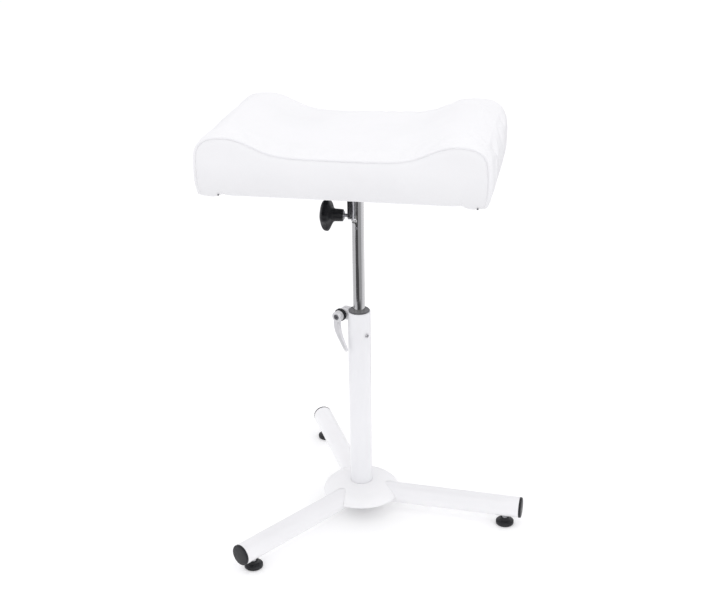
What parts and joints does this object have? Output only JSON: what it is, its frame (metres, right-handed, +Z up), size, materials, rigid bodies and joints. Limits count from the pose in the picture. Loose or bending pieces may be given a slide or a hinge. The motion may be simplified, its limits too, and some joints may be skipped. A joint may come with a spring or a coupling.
{
  "type": "pedicure_footrest",
  "caption": "Free-standing pedicure footrest: white saddle cushion with piping on a chromed telescopic post with clamp lever and star knob, on a white tripod base with levelling glides",
  "frame": {"origin": "middle of the bounding box, on the floor plane that the three glides stand on", "axes": "+Z up; +X along the cushion, away from the star knob; +Y away from the clamp lever, so the long face with the lever in front looks towards -Y"},
  "size_m": [0.4728, 0.473, 0.6596],
  "materials": {
    "white_leather": "smooth white faux leather",
    "foam": "open-cell foam",
    "black_cloth": "black spun dust cloth",
    "plywood": "raw plywood",
    "white_coat": "white powder coat",
    "chrome": "polished chrome",
    "black_plastic": "fine-grained black plastic",
    "grey_plastic": "dark grey plastic",
    "nylon": "natural nylon",
    "steel": "zinc-plated steel"
  },
  "bodies": {
    "base": {"base_bolt": "steel", "bush_screw": "steel", "clamp_ear_1": "white_coat", "clamp_ear_2": "white_coat", "clamp_nut": "steel", "column_bush": "grey_plastic", "column_plug": "steel", "column_tube": "white_coat", "hub_boss": "steel", "hub_cover": "white_coat", "leg_cap_1": "black_plastic", "leg_cap_2": "black_plastic", "leg_cap_3": "black_plastic", "leg_nut_1": "steel", "leg_nut_2": "steel", "leg_nut_3": "steel", "leg_tube_1": "white_coat", "leg_tube_2": "white_coat", "leg_tube_3": "white_coat"},
    "lever": {"clamp_rod": "steel", "lever_collar": "black_plastic", "lever_screw": "black_plastic"},
    "lever_handle": {"lever_arm": "chrome"},
    "post_guide": {"post_foot": "grey_plastic"},
    "post": {"block_pin": "steel", "hinge_block": "chrome", "post_tube": "chrome", "tilt_washer": "nylon"},
    "tilt": {"base_board": "plywood", "cushion_cover": "white_leather", "dust_cloth": "black_cloth", "foam_core": "foam", "piping_front": "white_leather", "piping_rear": "white_leather", "plate_screw_1": "steel", "plate_screw_2": "steel", "plate_screw_3": "steel", "plate_screw_4": "steel", "tilt_ear": "steel", "tilt_gusset": "steel", "tilt_plate": "steel", "tilt_tongue": "chrome"},
    "knob_carrier": {"knob_washer": "steel"},
    "knob": {"knob_head": "black_plastic", "knob_stud": "steel"},
    "glide_1": {"glide_pad_1": "black_plastic", "glide_stud_1": "steel"},
    "glide_2": {"glide_pad_2": "black_plastic", "glide_stud_2": "steel"},
    "glide_3": {"glide_pad_3": "black_plastic", "glide_stud_3": "steel"}
  },
  "joints": [
    {"name": "lever_turn", "type": "hinge", "parent": "base", "child": "lever", "pos_m": [-0.05398, 0.00293, 0.343], "axis": [-0.3746, -0.9272, 0], "range_deg": [-60, 45]},
    {"name": "lever_lift", "type": "slide", "parent": "lever", "child": "lever_handle", "axis": [-0.3746, -0.9272, 0], "range_m": [0, 0.0028], "stiffness_N_per_m": 500, "springref_m": -0.002},
    {"name": "post_slide", "type": "slide", "parent": "base", "child": "post_guide", "axis": [0, 0, 1], "range_m": [-0.12, 0.06]},
    {"name": "post_turn", "type": "hinge", "parent": "post_guide", "child": "post", "pos_m": [-0.02895, -0.00718, 0.35], "axis": [0, 0, 1], "continuous": true},
    {"name": "tilt_turn", "type": "hinge", "parent": "post", "child": "tilt", "pos_m": [-0.02895, -0.00718, 0.5065], "axis": [1, 0, 0], "range_deg": [-30, 30]},
    {"name": "knob_in", "type": "slide", "parent": "post", "child": "knob_carrier", "axis": [1, 0, 0], "range_m": [-0.003, 0.003]},
    {"name": "knob_turn", "type": "hinge", "parent": "knob_carrier", "child": "knob", "pos_m": [-0.02895, -0.00718, 0.5065], "axis": [1, 0, 0], "range_deg": [-1080, 1080]},
    {"name": "glide_1_level", "type": "slide", "parent": "base", "child": "glide_1", "axis": [0, 0, 1], "range_m": [-0.006, 0.003]},
    {"name": "glide_2_level", "type": "slide", "parent": "base", "child": "glide_2", "axis": [0, 0, 1], "range_m": [-0.006, 0.003]},
    {"name": "glide_3_level", "type": "slide", "parent": "base", "child": "glide_3", "axis": [0, 0, 1], "range_m": [-0.006, 0.003]}
  ],
  "couplings": [
    {"joint": "knob_in", "follows": "knob_turn", "m_per_rad": 0.00015915}
  ]
}
